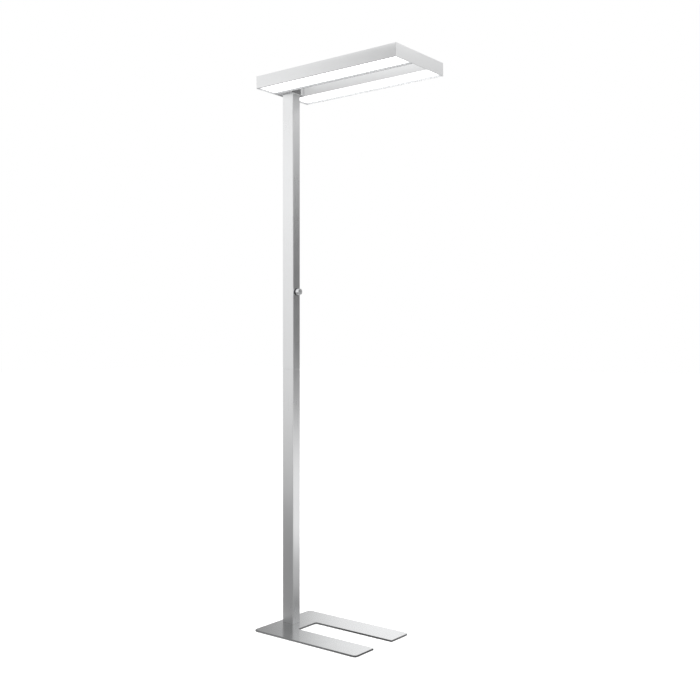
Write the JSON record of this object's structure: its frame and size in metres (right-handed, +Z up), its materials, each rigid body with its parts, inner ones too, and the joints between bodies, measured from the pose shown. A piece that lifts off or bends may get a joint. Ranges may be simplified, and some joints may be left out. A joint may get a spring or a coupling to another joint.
{
  "type": "floor lamp",
  "caption": "Office floor lamp: flat two-wing LED head on a rectangular column with a dimmer knob, standing on a slotted steel base plate.",
  "frame": {"origin": "on the floor, under the middle of the head: the middle of the whole lamp's box in plan, at its lowest point", "axes": "+X points forwards, from the column towards the prong tips, +Y points to the lamp's far side as the picture sees it, +Z points up"},
  "size_m": [0.6, 0.3, 1.95],
  "materials": {
    "satin_aluminium": "satin silver anodised column tubes",
    "head_aluminium": "satin silver anodised head profiles and caps",
    "brushed_plate": "brushed steel plate with soft reflections",
    "cast_alloy": "die-cast, as cast",
    "dark_grey_paint": "dark grey powder coat",
    "zinc_steel": "zinc plated",
    "polished_chrome": "polished chrome",
    "dark_plastic": "dark grey moulded",
    "black_plastic": "black moulded",
    "white_plastic": "off-white moulded",
    "driver_case": "white coated steel case",
    "circuit_board": "green solder mask",
    "white_board": "white solder mask",
    "black_rubber": "moulded rubber",
    "black_lead": "black cable sheath",
    "white_lead": "white wire insulation",
    "opal_diffuser": "opal acrylic, lit from inside",
    "clear_cover": "lightly frosted clear acrylic, lit from inside"
  },
  "bodies": {
    "lamp": {"base_plate": "brushed_plate", "foot_pads": "black_rubber", "base_screws": "zinc_steel", "column_foot": "cast_alloy", "lower_column": "satin_aluminium", "column_joiner": "cast_alloy", "upper_column": "satin_aluminium", "column_screws": "zinc_steel", "cable_grommet": "black_rubber", "mains_terminal": "white_plastic", "mains_lead": "black_lead", "driver_tray": "zinc_steel", "led_driver": "driver_case", "control_lead": "black_lead", "output_lead": "black_lead", "dimmer_housing": "cast_alloy", "dimmer_back_plate": "zinc_steel", "dimmer_board": "circuit_board", "push_switch": "black_plastic", "dimmer_bezel": "dark_plastic", "dimmer_nut": "zinc_steel", "neck_bracket": "cast_alloy", "neck_screws": "zinc_steel", "neck_bottom_cover": "dark_grey_paint", "neck_top_cover": "head_aluminium", "junction_block": "black_plastic", "clamp_plates": "zinc_steel", "clamp_screws": "zinc_steel", "near_wing": "head_aluminium", "far_wing": "head_aluminium", "front_end_cap": "head_aluminium", "rear_end_cap": "head_aluminium", "end_cap_screws": "zinc_steel", "near_lower_diffuser": "opal_diffuser", "far_lower_diffuser": "opal_diffuser", "near_upper_cover": "clear_cover", "far_upper_cover": "clear_cover", "near_lower_led_board": "white_board", "far_lower_led_board": "white_board", "near_upper_led_board": "white_board", "far_upper_led_board": "white_board", "board_screws": "zinc_steel", "board_links": "white_plastic", "near_wing_lead": "white_lead", "far_wing_lead": "white_lead"},
    "dimmer_rotor": {"dimmer_rotor": "white_plastic"},
    "dimmer_knob": {"dimmer_knob": "polished_chrome", "dimmer_shaft": "zinc_steel", "knob_grub_screw": "zinc_steel"}
  },
  "joints": [
    {"name": "dimmer_turn", "type": "hinge", "parent": "lamp", "child": "dimmer_rotor", "pos_m": [-0.233, 0, 1.196], "axis": [1, 0, 0], "range_deg": [-150, 150]},
    {"name": "dimmer_push", "type": "slide", "parent": "dimmer_rotor", "child": "dimmer_knob", "axis": [-1, 0, 0], "range_m": [0, 0.001], "stiffness_N_per_m": 1500, "springref_m": -0.001}
  ]
}
